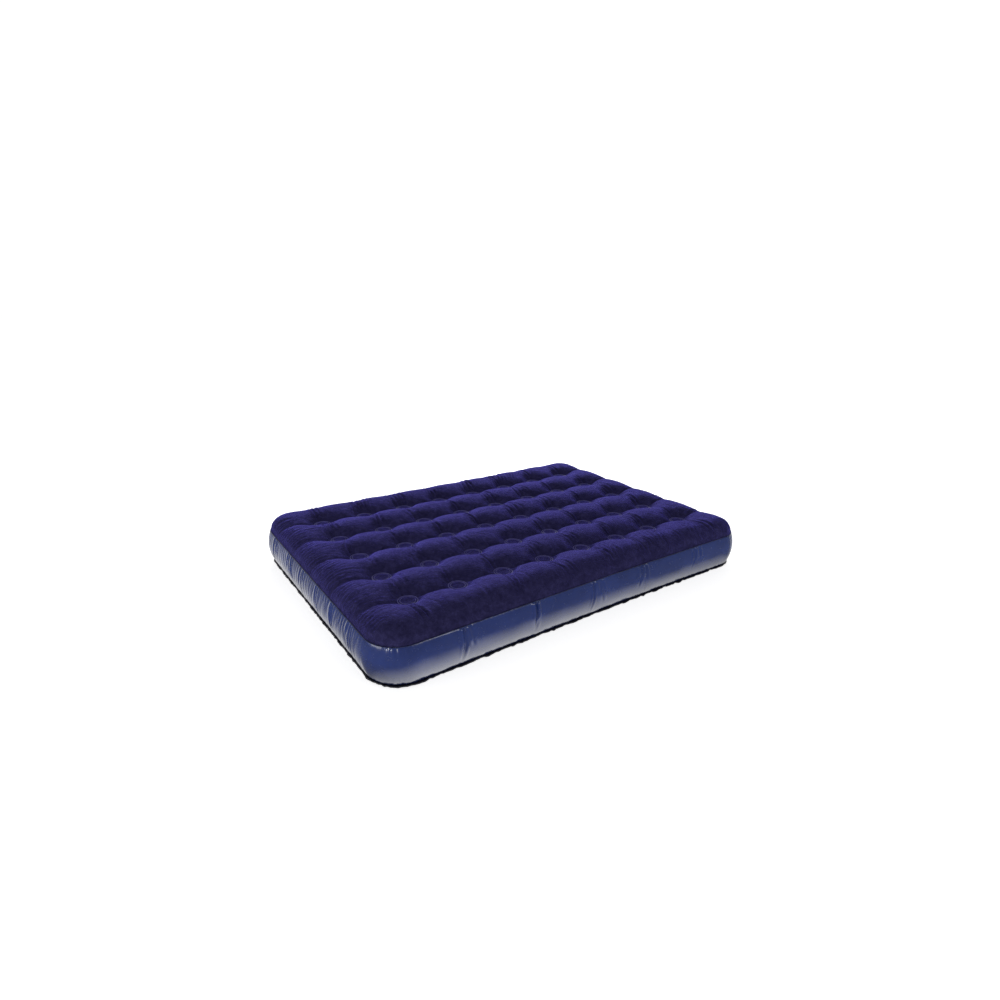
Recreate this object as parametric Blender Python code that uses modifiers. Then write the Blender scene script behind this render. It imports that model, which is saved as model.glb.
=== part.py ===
"""Double air mattress: a flocked coil-beam air bed with a screw-in valve.

Metres, +Z up.  +X runs along the bed, +Y across it, and the bed lies on z = 0
with its middle over the origin.  The envelope is three films (flocked top,
side wall, bottom) tied together by forty rolled coil beams.  The valve sits in
the +X end wall.
"""

import math

import bmesh
import bpy
from mathutils import Vector

# ---------------------------------------------------------------- dimensions
SEAM_HALF_X = 0.936          # weld line, half length
SEAM_HALF_Y = 0.669          # weld line, half width at the two ends
WAIST = 0.012                # how far the long sides draw in at mid length
CORNER_R = 0.130             # plan radius of the four corners
WALL_BULGE = 0.019           # how far the wall swells past the weld lines
SEAM_FIN = 0.006             # width of the weld fins

Z_BOTTOM_SEAM = 0.0115       # lower weld line
Z_TOP_SEAM = 0.1580          # upper weld line
Z_RING = 0.1870              # floor of a dimple
Z_VALLEY = 0.2040            # valley between two dimples of one row
Z_CREST = 0.2220             # highest line of a ridge
CREST_DIP = 0.0090           # crest sinks beside each dimple
EDGE_ROLL = 0.110            # width over which the top rolls down to its seam

ROWS = 5                     # dimple rows, across the bed
COLUMNS = 8                  # dimples in a row, along the bed
PITCH_X = 2 * SEAM_HALF_X / (COLUMNS + 1)
PITCH_Y = 2 * SEAM_HALF_Y / (ROWS + 1)
GRID_PER_PITCH = 4           # surface divisions in one pitch

TOP_FILM = 0.0010            # film and flock pile together
WALL_FILM = 0.0008
COIL_FILM = 0.0008
GAP = 0.0003                 # clearance kept between neighbouring pieces

OUTLINE_CORNER = 9           # outline divisions in a corner
OUTLINE_LONG = 9             # outline divisions along a long side
OUTLINE_SHORT = 7            # outline divisions along a short side
BOTTOM_INSETS = (-0.006, 0.0, 0.016, 0.046)
BOTTOM_RISE = (0.0105, 0.0105, 0.0028, 0.0)

COIL_R = 0.0360
COIL_SIDES = 14
COIL_LAP = 0.0020            # step between the two lapped ends of the strip
COIL_LAP_SIDES = 1.5         # how many sides the ends overlap by
VENT_R = 0.0050              # air hole in each coil beam
VENT_Z = 0.0950

VALVE_Y = 0.400
VALVE_Z = 0.0760
VALVE_FACE_X = SEAM_HALF_X + WALL_BULGE
TURN_STEPS = 24

BASE_FLANGE_R = 0.0360
BASE_FLANGE_T = 0.0016
BASE_COLLAR_R = 0.0245
BASE_NECK_R = 0.0230
BASE_BORE_R = 0.0205
BASE_TOP = 0.0070
BASE_DEEP = -0.0120

BODY_FLANGE_R = 0.0268
BODY_FLANGE_LOW = 0.0086
BODY_FLANGE_TOP = 0.0110
BODY_WELL_R = 0.0180         # sunk ring round the neck, so the cap sits low
BODY_WELL_FLOOR = 0.0020
BODY_PLATE_LOW = -0.0004     # underside of the well floor, the flap's seat
BODY_TUBE_R = 0.0200
BODY_TUBE_BORE = 0.0175
BODY_DEEP = -0.0080
NECK_R = 0.0110
NECK_BORE = 0.0085
NECK_TOP = 0.0125
GRIP_NOTCHES = 8
GRIP_NOTCH_R = 0.0030

CAP_R = 0.0148
CAP_SKIRT_BORE = 0.0125
CAP_PLATE_LOW = NECK_TOP + GAP
CAP_TOP = 0.0150
CAP_SKIRT_LOW = 0.0095
PLUG_R = 0.0080
PLUG_TIP_R = 0.0068
PLUG_LOW = 0.0088

STRAP_W = 0.0070
STRAP_T = 0.0008
STRAP_ROOT = 0.0232          # distance of the strap's bend from the valve axis
STRAP_H = 0.0118             # height of the strap's bend

FLAP_R = 0.0120
FLAP_T = 0.0008

# ------------------------------------------------------------------- colours
FLOCK = (0.030, 0.022, 0.115)
PVC = (0.040, 0.065, 0.230)
PVC_UNDER = (0.030, 0.045, 0.160)
COIL_PVC = (0.080, 0.105, 0.300)
VALVE_PVC = (0.025, 0.030, 0.085)
SEAL = (0.020, 0.020, 0.022)


# ------------------------------------------------------------------- helpers
def clear_scene():
    for obj in list(bpy.data.objects):
        bpy.data.objects.remove(obj, do_unlink=True)


def new_collection(name):
    coll = bpy.data.collections.new(name)
    bpy.context.scene.collection.children.link(coll)
    return coll


def principled(name, colour, roughness, metallic=0.0, sheen=0.0, coat=0.0):
    mat = bpy.data.materials.new(name)
    mat.use_nodes = True
    shader = mat.node_tree.nodes["Principled BSDF"]
    shader.inputs["Base Color"].default_value = (*colour, 1.0)
    shader.inputs["Roughness"].default_value = roughness
    shader.inputs["Metallic"].default_value = metallic
    shader.inputs["Sheen Weight"].default_value = sheen
    shader.inputs["Coat Weight"].default_value = coat
    mat.diffuse_color = (*colour, 1.0)
    return mat


def add_object(name, mesh, material, collection, parent=None):
    mesh.materials.clear()
    mesh.materials.append(material)
    obj = bpy.data.objects.new(name, mesh)
    collection.objects.link(obj)
    obj.parent = parent
    return obj


def mesh_from(bm, name, smooth=True):
    bmesh.ops.recalc_face_normals(bm, faces=bm.faces)
    mesh = bpy.data.meshes.new(name)
    bm.to_mesh(mesh)
    bm.free()
    if smooth:
        mesh.shade_smooth()
        mesh.set_sharp_from_angle(angle=math.radians(40))
    return mesh


def solidify(obj, thickness, offset):
    mod = obj.modifiers.new("film", "SOLIDIFY")
    mod.thickness = thickness
    mod.offset = offset
    mod.use_even_offset = False
    return mod


def cut(obj, cutter):
    mod = obj.modifiers.new("cut_" + cutter.name, "BOOLEAN")
    mod.operation = "DIFFERENCE"
    mod.solver = "EXACT"
    mod.object = cutter
    return mod


def cylinder_cutter(name, radius, depth, sides, collection):
    bm = bmesh.new()
    bmesh.ops.create_cone(
        bm, cap_ends=True, segments=sides, radius1=radius, radius2=radius, depth=depth
    )
    mesh = bpy.data.meshes.new(name)
    bm.to_mesh(mesh)
    bm.free()
    obj = bpy.data.objects.new(name, mesh)
    collection.objects.link(obj)
    obj.hide_render = True
    obj.display_type = "WIRE"
    return obj


def turned(name, profile, material, collection, parent, closed=True):
    """A turned piece.  The profile holds (radius, height) pairs, outer side first."""
    mesh = bpy.data.meshes.new(name)
    count = len(profile)
    verts = [(r, 0.0, h) for r, h in profile]
    edges = [(i, i + 1) for i in range(count - 1)]
    if closed:
        edges.append((count - 1, 0))
    mesh.from_pydata(verts, edges, [])
    obj = add_object(name, mesh, material, collection, parent)
    mod = obj.modifiers.new("turn", "SCREW")
    mod.axis = "Z"
    mod.angle = math.tau
    mod.steps = TURN_STEPS
    mod.render_steps = TURN_STEPS
    mod.use_merge_vertices = True
    mod.merge_threshold = 0.00001
    mod.use_smooth_shade = True
    return obj


# -------------------------------------------------------------- plan geometry
def waist_scale(x):
    """The long sides draw in a little between the corners."""
    share = min(abs(x) / SEAM_HALF_X, 1.0)
    return 1.0 - WAIST / SEAM_HALF_Y * (1.0 - share * share)


def to_plan(x, y):
    """Rounds the corners of a rectangular layout and draws in its long sides."""
    over_x = (abs(x) - (SEAM_HALF_X - CORNER_R)) / CORNER_R
    over_y = (abs(y) - (SEAM_HALF_Y - CORNER_R)) / CORNER_R
    if over_x > 0 and over_y > 0:
        round_x = over_x * math.sqrt(1 - over_y * over_y / 2)
        round_y = over_y * math.sqrt(1 - over_x * over_x / 2)
        x = math.copysign(SEAM_HALF_X - CORNER_R + CORNER_R * round_x, x)
        y = math.copysign(SEAM_HALF_Y - CORNER_R + CORNER_R * round_y, y)
    return x, y * waist_scale(x)


def outline():
    """Points round the weld line, and the outward direction at each."""
    straight_x = SEAM_HALF_X - CORNER_R
    straight_y = SEAM_HALF_Y - CORNER_R
    corners = (
        (straight_x, straight_y, 0.0, OUTLINE_LONG),
        (-straight_x, straight_y, 0.5 * math.pi, OUTLINE_SHORT),
        (-straight_x, -straight_y, math.pi, OUTLINE_LONG),
        (straight_x, -straight_y, 1.5 * math.pi, OUTLINE_SHORT),
    )
    rough = []
    for index, (cx, cy, start, side_count) in enumerate(corners):
        for k in range(OUTLINE_CORNER + 1):
            angle = start + 0.5 * math.pi * k / OUTLINE_CORNER
            rough.append((cx + CORNER_R * math.cos(angle), cy + CORNER_R * math.sin(angle)))
        nx, ny, nstart, _ = corners[(index + 1) % 4]
        end = Vector(rough[-1])
        begin = Vector((nx + CORNER_R * math.cos(nstart), ny + CORNER_R * math.sin(nstart)))
        for k in range(1, side_count):
            step = end.lerp(begin, k / side_count)
            rough.append((step.x, step.y))
    points = [Vector((x, y * waist_scale(x))) for x, y in rough]
    count = len(points)
    normals = []
    for k in range(count):
        along = (points[(k + 1) % count] - points[k - 1]).normalized()
        normals.append(Vector((along.y, -along.x)))
    return points, normals


OUTLINE, OUTWARD = outline()


def on_outline(index, outset):
    index %= len(OUTLINE)
    return OUTLINE[index] + OUTWARD[index] * outset


# ------------------------------------------------------------------ envelope
def roll(distance):
    """Quarter-round rise of the top sheet, from 0 at its seam to 1 further in."""
    share = min(max(distance / EDGE_ROLL, 0.0), 1.0)
    return math.sqrt(1.0 - (1.0 - share) ** 2)


def top_height(x, y):
    u = x / PITCH_X
    v = y / PITCH_Y
    dimple = math.sin(math.pi * u) ** 2 if abs(u) < COLUMNS / 2 else 0.0
    ridge = abs(math.sin(math.pi * v)) ** 0.8 if abs(v) < ROWS / 2 else 1.0
    valley = Z_VALLEY - (Z_VALLEY - Z_RING) * dimple
    crest = Z_CREST - CREST_DIP * dimple
    crown = valley + (crest - valley) * ridge
    fall = roll(SEAM_HALF_X - abs(x)) * roll(SEAM_HALF_Y - abs(y))
    return Z_TOP_SEAM + GAP + TOP_FILM + (crown - Z_TOP_SEAM) * fall


def grid_lines(half, pitch):
    """Even divisions of the pitch, with three closer ones beside the seam."""
    step = pitch / GRID_PER_PITCH
    inner = [i * step for i in range(int(round(half / step)))]
    positive = inner[:-1] + [half - 0.036, half - 0.013, half - 0.003, half]
    return [-p for p in reversed(positive[1:])] + positive


def make_top_sheet(material, collection):
    lines_x = grid_lines(SEAM_HALF_X, PITCH_X)
    lines_y = grid_lines(SEAM_HALF_Y, PITCH_Y)
    nx = len(lines_x) - 1
    ny = len(lines_y) - 1
    bm = bmesh.new()
    bmesh.ops.create_grid(bm, x_segments=nx, y_segments=ny, size=1.0)
    for vert in bm.verts:
        x = lines_x[int(round((vert.co.x + 1.0) * 0.5 * nx))]
        y = lines_y[int(round((vert.co.y + 1.0) * 0.5 * ny))]
        height = top_height(x, y)
        px, py = to_plan(x, y)
        vert.co = (px, py, height)
    rim = [edge for edge in bm.edges if edge.is_boundary]
    fin = bmesh.ops.extrude_edge_only(bm, edges=rim)["geom"]
    for vert in (item for item in fin if isinstance(item, bmesh.types.BMVert)):
        flat = vert.co.xy
        nearest = min(range(len(OUTLINE)), key=lambda k: (OUTLINE[k] - flat).length)
        flat = flat + OUTWARD[nearest] * SEAM_FIN
        vert.co = (flat.x, flat.y, Z_TOP_SEAM + GAP + TOP_FILM)
    bmesh.ops.recalc_face_normals(bm, faces=bm.faces)
    if sum(face.normal.z for face in bm.faces) < 0:
        bmesh.ops.reverse_faces(bm, faces=bm.faces)
    mesh = bpy.data.meshes.new("top_sheet")
    bm.to_mesh(mesh)
    bm.free()
    mesh.shade_smooth()
    obj = add_object("top_sheet", mesh, material, collection)
    solidify(obj, TOP_FILM, -1.0)
    return obj


def wall_profile():
    """(height, outset) down the wall, fin to fin; its middle is straight."""
    high = Z_TOP_SEAM - WALL_FILM
    low = Z_BOTTOM_SEAM + WALL_FILM
    return (
        (high, SEAM_FIN),
        (high, 0.0),
        (high - 0.016, WALL_BULGE * 0.72),
        (high - 0.044, WALL_BULGE),
        (low + 0.026, WALL_BULGE),
        (low + 0.010, WALL_BULGE * 0.66),
        (low, 0.0),
        (low, SEAM_FIN),
    )


def make_side_wall(material, collection):
    profile = wall_profile()
    rows = len(profile)
    sides = len(OUTLINE)
    bm = bmesh.new()
    bmesh.ops.create_cone(
        bm, cap_ends=False, segments=sides, radius1=1.0, radius2=1.0, depth=rows - 1.0
    )
    uprights = [e for e in bm.edges if abs(e.verts[0].co.z - e.verts[1].co.z) > 0.5]
    bmesh.ops.subdivide_edges(bm, edges=uprights, cuts=rows - 2, use_grid_fill=True)
    for vert in bm.verts:
        row = rows - 1 - int(round(vert.co.z + (rows - 1) / 2))
        turn = math.atan2(vert.co.y, vert.co.x) / math.tau
        index = int(round(turn * sides)) % sides
        height, outset = profile[row]
        flat = on_outline(index, outset)
        vert.co = (flat.x, flat.y, height)
    bmesh.ops.recalc_face_normals(bm, faces=bm.faces)
    middle = max(bm.faces, key=lambda f: f.calc_center_median().x)
    if middle.normal.x < 0:
        bmesh.ops.reverse_faces(bm, faces=bm.faces)
    mesh = bpy.data.meshes.new("side_wall")
    bm.to_mesh(mesh)
    bm.free()
    mesh.shade_smooth()
    obj = add_object("side_wall", mesh, material, collection)
    solidify(obj, WALL_FILM, -1.0)
    return obj


def make_bottom_sheet(material, collection):
    sides = len(OUTLINE)
    rings = len(BOTTOM_INSETS)
    bm = bmesh.new()
    bmesh.ops.create_circle(bm, cap_ends=True, segments=sides, radius=1.0)
    for _ in range(rings - 1):
        centre = min(bm.faces, key=lambda f: f.calc_center_median().length)
        bmesh.ops.inset_individual(bm, faces=[centre], thickness=0.1, use_even_offset=False)
    for vert in bm.verts:
        ring = min(int(round((1.0 - vert.co.xy.length) / 0.1)), rings - 1)
        turn = math.atan2(vert.co.y, vert.co.x) / math.tau
        index = int(round(turn * sides)) % sides
        flat = on_outline(index, -BOTTOM_INSETS[ring])
        vert.co = (flat.x, flat.y, BOTTOM_RISE[ring])
    bmesh.ops.recalc_face_normals(bm, faces=bm.faces)
    if sum(face.normal.z for face in bm.faces) > 0:
        bmesh.ops.reverse_faces(bm, faces=bm.faces)
    mesh = bpy.data.meshes.new("bottom_sheet")
    bm.to_mesh(mesh)
    bm.free()
    mesh.shade_smooth()
    obj = add_object("bottom_sheet", mesh, material, collection)
    solidify(obj, WALL_FILM, -1.0)
    return obj


# ---------------------------------------------------------------- coil beams
def coil_mesh(collection, cutters):
    """One rolled strip whose ends lap, standing between the two sheets."""
    low = WALL_FILM + GAP
    high = Z_RING - GAP
    turns = COIL_SIDES + COIL_LAP_SIDES
    steps = COIL_SIDES + 1
    bm = bmesh.new()
    base = []
    for k in range(steps + 1):
        angle = math.tau / COIL_SIDES * turns * k / steps
        radius = COIL_R - COIL_LAP * k / steps
        base.append(bm.verts.new((radius * math.cos(angle), radius * math.sin(angle), low)))
    strip = [bm.edges.new((base[k], base[k + 1])) for k in range(steps)]
    raised = bmesh.ops.extrude_edge_only(bm, edges=strip)["geom"]
    for vert in (item for item in raised if isinstance(item, bmesh.types.BMVert)):
        vert.co.z = high
    mesh = mesh_from(bm, "coil_strip")
    strip_obj = bpy.data.objects.new("coil_strip", mesh)
    collection.objects.link(strip_obj)
    solidify(strip_obj, COIL_FILM, -1.0)
    hole = cylinder_cutter("coil_vent_cutter", VENT_R, 0.03, 8, cutters)
    hole.location = (0.0, -COIL_R, VENT_Z)
    hole.rotation_euler = (0.5 * math.pi, 0.0, 0.0)
    cut(strip_obj, hole)
    bpy.context.view_layer.update()
    graph = bpy.context.evaluated_depsgraph_get()
    result = bpy.data.meshes.new_from_object(strip_obj.evaluated_get(graph))
    result.name = "coil_beam"
    bpy.data.objects.remove(strip_obj, do_unlink=True)
    bpy.data.objects.remove(hole, do_unlink=True)
    return result


def make_coils(material, collection, cutters):
    shared = coil_mesh(collection, cutters)
    for row in range(ROWS):
        for column in range(COLUMNS):
            x = (column - (COLUMNS - 1) / 2) * PITCH_X
            y = (row - (ROWS - 1) / 2) * PITCH_Y * waist_scale(x)
            name = f"coil_beam_r{row + 1}_c{column + 1}"
            obj = add_object(name, shared, material, collection)
            obj.location = (x, y, 0.0)


# --------------------------------------------------------------------- valve
def make_valve(wall, shell, seal, collection, cutters):
    axis = bpy.data.objects.new("valve_axis", None)
    collection.objects.link(axis)
    axis.location = (VALVE_FACE_X, VALVE_Y, VALVE_Z)
    axis.rotation_euler = (0.0, 0.5 * math.pi, 0.0)

    mouth = cylinder_cutter("valve_hole_cutter", BASE_NECK_R + 0.0006, 0.03, 24, cutters)
    mouth.parent = axis
    cut(wall, mouth)

    flange_low = GAP
    flange_top = GAP + BASE_FLANGE_T
    turned(
        "valve_base",
        (
            (BASE_COLLAR_R, BASE_TOP),
            (BASE_COLLAR_R, flange_top),
            (BASE_FLANGE_R, flange_top),
            (BASE_FLANGE_R, flange_low),
            (BASE_NECK_R, flange_low),
            (BASE_NECK_R, BASE_DEEP),
            (BASE_BORE_R, BASE_DEEP),
            (BASE_BORE_R, BASE_TOP),
        ),
        shell,
        collection,
        axis,
    )

    turned(
        "valve_gasket",
        (
            (BASE_COLLAR_R - 0.0004, BODY_FLANGE_LOW - GAP),
            (BASE_COLLAR_R - 0.0004, BASE_TOP + GAP),
            (BASE_BORE_R + 0.0006, BASE_TOP + GAP),
            (BASE_BORE_R + 0.0006, BODY_FLANGE_LOW - GAP),
        ),
        seal,
        collection,
        axis,
    )

    body = turned(
        "valve_body",
        (
            (NECK_R, NECK_TOP),
            (NECK_R, BODY_WELL_FLOOR),
            (BODY_WELL_R, BODY_WELL_FLOOR),
            (BODY_WELL_R, BODY_FLANGE_TOP),
            (BODY_FLANGE_R, BODY_FLANGE_TOP),
            (BODY_FLANGE_R, BODY_FLANGE_LOW),
            (BODY_TUBE_R, BODY_FLANGE_LOW),
            (BODY_TUBE_R, BODY_DEEP),
            (BODY_TUBE_BORE, BODY_DEEP),
            (BODY_TUBE_BORE, BODY_PLATE_LOW),
            (NECK_BORE, BODY_PLATE_LOW),
            (NECK_BORE, NECK_TOP),
        ),
        shell,
        collection,
        axis,
    )
    for k in range(GRIP_NOTCHES):
        angle = math.tau * (k + 0.5) / GRIP_NOTCHES
        notch = cylinder_cutter(f"grip_cutter_{k + 1}", GRIP_NOTCH_R, 0.01, 8, cutters)
        notch.parent = axis
        reach = BODY_FLANGE_R + 0.0012
        notch.location = (reach * math.cos(angle), reach * math.sin(angle), BODY_FLANGE_TOP)
        cut(body, notch)

    # The cap and its strap turn about the strap's bend, on the upper side.
    bend = bpy.data.objects.new("valve_cap_bend", None)
    collection.objects.link(bend)
    bend.parent = axis
    bend.location = (-STRAP_ROOT, 0.0, STRAP_H)
    cap = turned(
        "valve_cap",
        (
            (0.0, CAP_TOP),
            (CAP_R - 0.0012, CAP_TOP),
            (CAP_R, CAP_TOP - 0.0012),
            (CAP_R, CAP_SKIRT_LOW),
            (CAP_SKIRT_BORE, CAP_SKIRT_LOW),
            (CAP_SKIRT_BORE, CAP_PLATE_LOW),
            (PLUG_R, CAP_PLATE_LOW),
            (PLUG_R, CAP_PLATE_LOW - 0.0010),
            (PLUG_TIP_R, PLUG_LOW),
            (0.0, PLUG_LOW),
        ),
        shell,
        collection,
        bend,
        closed=False,
    )
    cap.location = (STRAP_ROOT, 0.0, -STRAP_H)

    bm = bmesh.new()
    bmesh.ops.create_cube(bm, size=1.0)
    near = 0.0002
    far = STRAP_ROOT - CAP_R - GAP
    for vert in bm.verts:
        vert.co.x = far if vert.co.x > 0 else -near
        vert.co.y *= STRAP_W
        vert.co.z *= STRAP_T
    strap = add_object("valve_cap_strap", mesh_from(bm, "valve_cap_strap"), shell, collection, bend)
    strap.location = (0.0, 0.0, 0.0002)

    # The flap hangs from its upper edge, just behind the plate.
    hang = bpy.data.objects.new("valve_flap_hinge", None)
    collection.objects.link(hang)
    hang.parent = axis
    hang.location = (-FLAP_R, 0.0, BODY_PLATE_LOW - GAP)
    flap = turned(
        "valve_check_flap",
        (
            (0.0, 0.0),
            (FLAP_R, 0.0),
            (FLAP_R, -FLAP_T),
            (0.0, -FLAP_T),
        ),
        seal,
        collection,
        hang,
        closed=False,
    )
    flap.location = (FLAP_R, 0.0, 0.0)


# ---------------------------------------------------------------------- main
def main():
    clear_scene()
    parts = new_collection("air_mattress")
    cutters = new_collection("cutters")
    flock = principled("flocked_pvc", FLOCK, 0.85, sheen=0.6)
    vinyl = principled("side_pvc", PVC, 0.28, coat=0.3)
    under = principled("bottom_pvc", PVC_UNDER, 0.40)
    beam = principled("coil_pvc", COIL_PVC, 0.35)
    moulded = principled("valve_pvc", VALVE_PVC, 0.45)
    rubber = principled("seal_rubber", SEAL, 0.60)

    make_top_sheet(flock, parts)
    wall = make_side_wall(vinyl, parts)
    make_bottom_sheet(under, parts)
    make_coils(beam, parts, cutters)
    make_valve(wall, moulded, rubber, parts, cutters)


main()
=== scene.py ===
"""Double air mattress, the visual model.

Metres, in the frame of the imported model.  The flocked top is blown up by cloth
simulation from the layout of its forty welded rings, then creased by formula
where the film is gathered.  The wall, the underside, the weld fins, the coil
beams and the valve are built round the same outline.
"""

import math

import bmesh
import bpy
import numpy as np
from mathutils import Matrix, Vector


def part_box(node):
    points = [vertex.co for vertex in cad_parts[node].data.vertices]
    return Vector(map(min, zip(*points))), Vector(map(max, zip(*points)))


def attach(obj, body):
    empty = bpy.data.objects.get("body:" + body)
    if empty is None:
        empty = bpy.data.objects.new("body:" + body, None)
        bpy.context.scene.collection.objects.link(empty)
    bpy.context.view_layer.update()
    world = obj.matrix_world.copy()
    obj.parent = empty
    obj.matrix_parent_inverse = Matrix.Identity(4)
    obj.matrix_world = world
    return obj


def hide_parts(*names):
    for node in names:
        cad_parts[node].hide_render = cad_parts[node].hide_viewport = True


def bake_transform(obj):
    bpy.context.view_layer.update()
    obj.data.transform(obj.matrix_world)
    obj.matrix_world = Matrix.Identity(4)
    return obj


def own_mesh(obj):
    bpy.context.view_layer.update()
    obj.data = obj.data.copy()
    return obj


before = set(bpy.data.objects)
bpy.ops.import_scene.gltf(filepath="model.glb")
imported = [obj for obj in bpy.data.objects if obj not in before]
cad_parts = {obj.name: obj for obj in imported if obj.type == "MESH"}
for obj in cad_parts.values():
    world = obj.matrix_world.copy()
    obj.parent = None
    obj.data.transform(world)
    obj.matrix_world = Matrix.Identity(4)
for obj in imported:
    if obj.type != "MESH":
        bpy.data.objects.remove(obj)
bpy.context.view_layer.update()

# ------------------------------------------------------- sizes from the frame
FIN = 0.006                                  # width of the solids' weld fins
TOP_LOW, TOP_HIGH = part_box("top_sheet")
WALL_LOW, WALL_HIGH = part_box("side_wall")
HALF_X = TOP_HIGH[0] - FIN                   # weld line, half length
HALF_Y = TOP_HIGH[1] - FIN                   # weld line, half width
Z_TOP_SEAM = TOP_LOW[2]
Z_LOW_SEAM = WALL_LOW[2]
Z_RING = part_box("coil_beam_r1_c1")[1][2] + 0.0003
BULGE = WALL_HIGH[0] - HALF_X                # how far the wall swells past the seams

CORNER_R = 0.130                             # plan radius of the corners
WAIST = 0.012                                # draw-in of the long sides
ROWS = 5
COLUMNS = 8
PITCH_X = 2 * HALF_X / (COLUMNS + 1)
PITCH_Y = 2 * HALF_Y / (ROWS + 1)
RING_R = 0.036
RING_DOME = 0.0015                           # swell of the film inside a ring
RING_RISE = 0.042                            # width over which the film rises from a ring

Z_VALLEY = 0.189                             # between two rings of a row
Z_END_VALLEY = 0.205                         # between the last ring and the end seam
Z_CREST = 0.220                              # highest line of a ridge
CREST_DIP = 0.005                            # how far the crest sinks beside a ring
EDGE_ROLL = 0.100                            # width over which the top rolls down to its seam


# ------------------------------------------------------------ small functions
def smooth(low, high, value):
    """0 below low, 1 above high, and an easy curve between."""
    share = np.clip((value - low) / (high - low), 0.0, 1.0)
    return share * share * (3.0 - 2.0 * share)


def lattice_noise(x, y, seed):
    """Smooth noise from -1 to 1 with cells one unit wide."""
    size = 64
    table = np.random.RandomState(seed).uniform(-1.0, 1.0, (size, size))
    cell_x = np.floor(x).astype(int)
    cell_y = np.floor(y).astype(int)
    part_x = smooth(0.0, 1.0, x - cell_x)
    part_y = smooth(0.0, 1.0, y - cell_y)

    def corner(i, j):
        return table[(cell_x + i) % size, (cell_y + j) % size]

    near = corner(0, 0) * (1 - part_x) + corner(1, 0) * part_x
    far = corner(0, 1) * (1 - part_x) + corner(1, 1) * part_x
    return near * (1 - part_y) + far * part_y


def puffs(phase):
    """Rounded puffs with a narrow crease at each whole number of the phase."""
    sharpness = 0.65
    mean = 0.72
    return np.abs(np.sin(math.pi * phase)) ** sharpness - mean


def waist_scale(x):
    """How much the width is drawn in at x."""
    share = np.minimum(np.abs(x) / HALF_X, 1.0)
    return 1.0 - WAIST / HALF_Y * (1.0 - share * share)


def to_plan(x, y):
    """Rounds the corners of the rectangular layout and draws in its long sides."""
    over_x = (np.abs(x) - (HALF_X - CORNER_R)) / CORNER_R
    over_y = (np.abs(y) - (HALF_Y - CORNER_R)) / CORNER_R
    corner = (over_x > 0) & (over_y > 0)
    round_x = over_x * np.sqrt(np.maximum(1 - over_y**2 / 2, 0.0))
    round_y = over_y * np.sqrt(np.maximum(1 - over_x**2 / 2, 0.0))
    plan_x = np.where(corner, np.sign(x) * (HALF_X - CORNER_R + CORNER_R * round_x), x)
    plan_y = np.where(corner, np.sign(y) * (HALF_Y - CORNER_R + CORNER_R * round_y), y)
    return plan_x, plan_y * waist_scale(plan_x)


def ring_centres():
    """(row, column, x, y) of each weld ring."""
    for row in range(ROWS):
        for column in range(COLUMNS):
            x = (column - (COLUMNS - 1) / 2) * PITCH_X
            y = (row - (ROWS - 1) / 2) * PITCH_Y * float(waist_scale(x))
            yield row, column, x, y


def outline(count):
    """count even points round the weld line, the outward direction at each, and how far
    along the line each lies."""
    steps = 400
    turn = np.linspace(0.0, 0.5 * math.pi, steps)
    share = np.linspace(0.0, 1.0, steps)[1:-1, None]
    corners = ((1, 1), (-1, 1), (-1, -1), (1, -1))
    middle = np.array((HALF_X - CORNER_R, HALF_Y - CORNER_R))
    rough = []
    for quarter, corner in enumerate(corners):
        angle = turn + quarter * 0.5 * math.pi
        arc = np.stack([np.cos(angle), np.sin(angle)], 1) * CORNER_R
        ahead = np.array(corners[(quarter + 1) % len(corners)])
        begin = arc[-1] + ahead * middle
        arc += np.array(corner) * middle
        rough.append(arc)
        rough.append(arc[-1] * (1 - share) + begin * share)
    points = np.concatenate(rough)
    points[:, 1] *= waist_scale(points[:, 0])
    closed = np.concatenate([points, points[:1]])
    length = np.concatenate([[0.0], np.cumsum(np.linalg.norm(np.diff(closed, axis=0), axis=1))])
    even = np.linspace(0.0, length[-1], count, endpoint=False)
    even_points = np.stack([np.interp(even, length, closed[:, k]) for k in (0, 1)], 1)
    along = np.roll(even_points, -1, 0) - np.roll(even_points, 1, 0)
    along /= np.linalg.norm(along, axis=1)[:, None]
    outward = np.stack([along[:, 1], -along[:, 0]], 1)
    return even_points, outward, even


def mesh_object(name, points, faces, shaded_smooth=True):
    """An object from a list or array of points and one of faces."""
    mesh = bpy.data.meshes.new(name)
    mesh.from_pydata(points, [], faces)
    if shaded_smooth:
        mesh.shade_smooth()
    obj = bpy.data.objects.new(name, mesh)
    bpy.context.scene.collection.objects.link(obj)
    return obj


def open_quads(index):
    """Quads between the neighbours of a grid of point numbers."""
    return np.stack([index[:-1, :-1], index[1:, :-1], index[1:, 1:], index[:-1, 1:]], -1)


def grid_object(name, points, closed=False, keep=None):
    """A mesh of quads on a grid of points; closed joins the last row to the first."""
    rows, cols = points.shape[:2]
    index = np.arange(rows * cols).reshape(rows, cols)
    if closed:
        index = np.concatenate([index, index[:1]])
    quads = open_quads(index)
    if keep is not None:
        quads = quads[keep]
    return mesh_object(name, points.reshape(-1, 3), quads.reshape(-1, 4))


def clean_loose(obj):
    """Deletes the points that no face uses."""
    bm = bmesh.new()
    bm.from_mesh(obj.data)
    bmesh.ops.delete(bm, geom=[v for v in bm.verts if not v.link_faces], context="VERTS")
    bm.to_mesh(obj.data)
    bm.free()


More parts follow.
